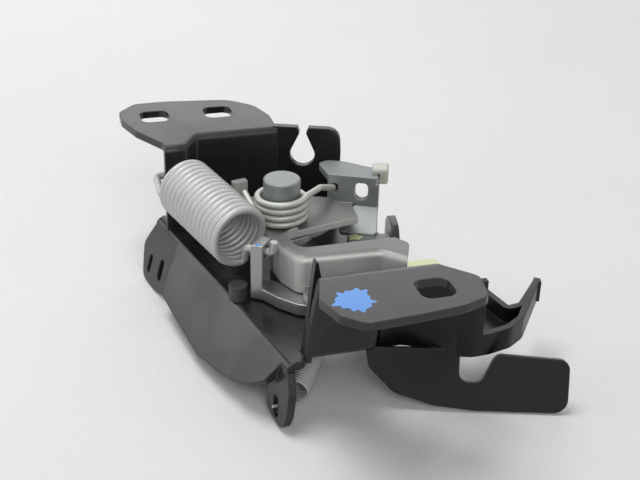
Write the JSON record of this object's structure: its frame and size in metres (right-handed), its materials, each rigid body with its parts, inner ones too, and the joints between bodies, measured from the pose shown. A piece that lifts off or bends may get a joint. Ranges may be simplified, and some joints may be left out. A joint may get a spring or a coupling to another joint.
{
  "type": "bonnet latch",
  "caption": "Black pressed base plate with bolt flanges, sprung claw under a slotted cover, cable-pulled release lever and a safety catch with a finger paddle.",
  "frame": {"origin": "centre of the closed striker on the mounting plane", "axes": "+X the way the striker leaves, +Y towards the two-bolt flange, +Z out of the mounting plane"},
  "size_m": [0.116, 0.1568, 0.0505],
  "materials": {
    "black_coat": "satin",
    "cover_zinc": "satin",
    "lever_zinc": "satin",
    "claw_zinc": "satin",
    "pin_steel": "satin",
    "spring_steel": "satin",
    "rubber": "matte",
    "cap_plastic": "satin",
    "pad_plastic": "satin"
  },
  "bodies": {
    "frame": {"base_plate": "black_coat", "guide_cover": "cover_zinc", "main_pin": "pin_steel", "claw_pin": "pin_steel", "claw_washer": "pin_steel", "lever_washer": "pin_steel", "catch_washer": "pin_steel", "stop_buffer": "rubber", "cover_rivet_1": "pin_steel", "cover_rivet_2": "pin_steel", "claw_spring": "spring_steel", "lever_spring": "spring_steel", "catch_spring": "spring_steel", "claw_spring_far_hook": "spring_steel", "claw_spring_near_hook": "spring_steel", "lever_spring_lug_leg": "spring_steel", "lever_spring_lever_leg": "spring_steel", "catch_spring_tab_hook": "spring_steel", "catch_spring_catch_hook": "spring_steel"},
    "claw": {"claw": "claw_zinc", "jaw_pad": "pad_plastic"},
    "lever": {"release_lever": "lever_zinc", "lever_cap": "cap_plastic"},
    "catch": {"safety_catch": "black_coat"}
  },
  "joints": [
    {"name": "claw_turn", "type": "hinge", "parent": "frame", "child": "claw", "pos_m": [0.01, -0.022, -0.0271], "axis": [0, 0, 1], "range_deg": [0, 50], "stiffness_Nm_per_rad": 0.6, "deforming": ["claw_spring", "claw_spring_far_hook", "claw_spring_near_hook"]},
    {"name": "lever_turn", "type": "hinge", "parent": "frame", "child": "lever", "pos_m": [-0.0045, 0.0155, -0.01775], "axis": [0, 0, 1], "range_deg": [0, 16], "stiffness_Nm_per_rad": 0.5, "deforming": ["lever_spring", "lever_spring_lug_leg", "lever_spring_lever_leg"]},
    {"name": "catch_turn", "type": "hinge", "parent": "frame", "child": "catch", "pos_m": [0.01, -0.022, -0.0334], "axis": [0, 0, 1], "range_deg": [-18, 0], "stiffness_Nm_per_rad": 0.3, "deforming": ["catch_spring", "catch_spring_tab_hook", "catch_spring_catch_hook"]}
  ]
}
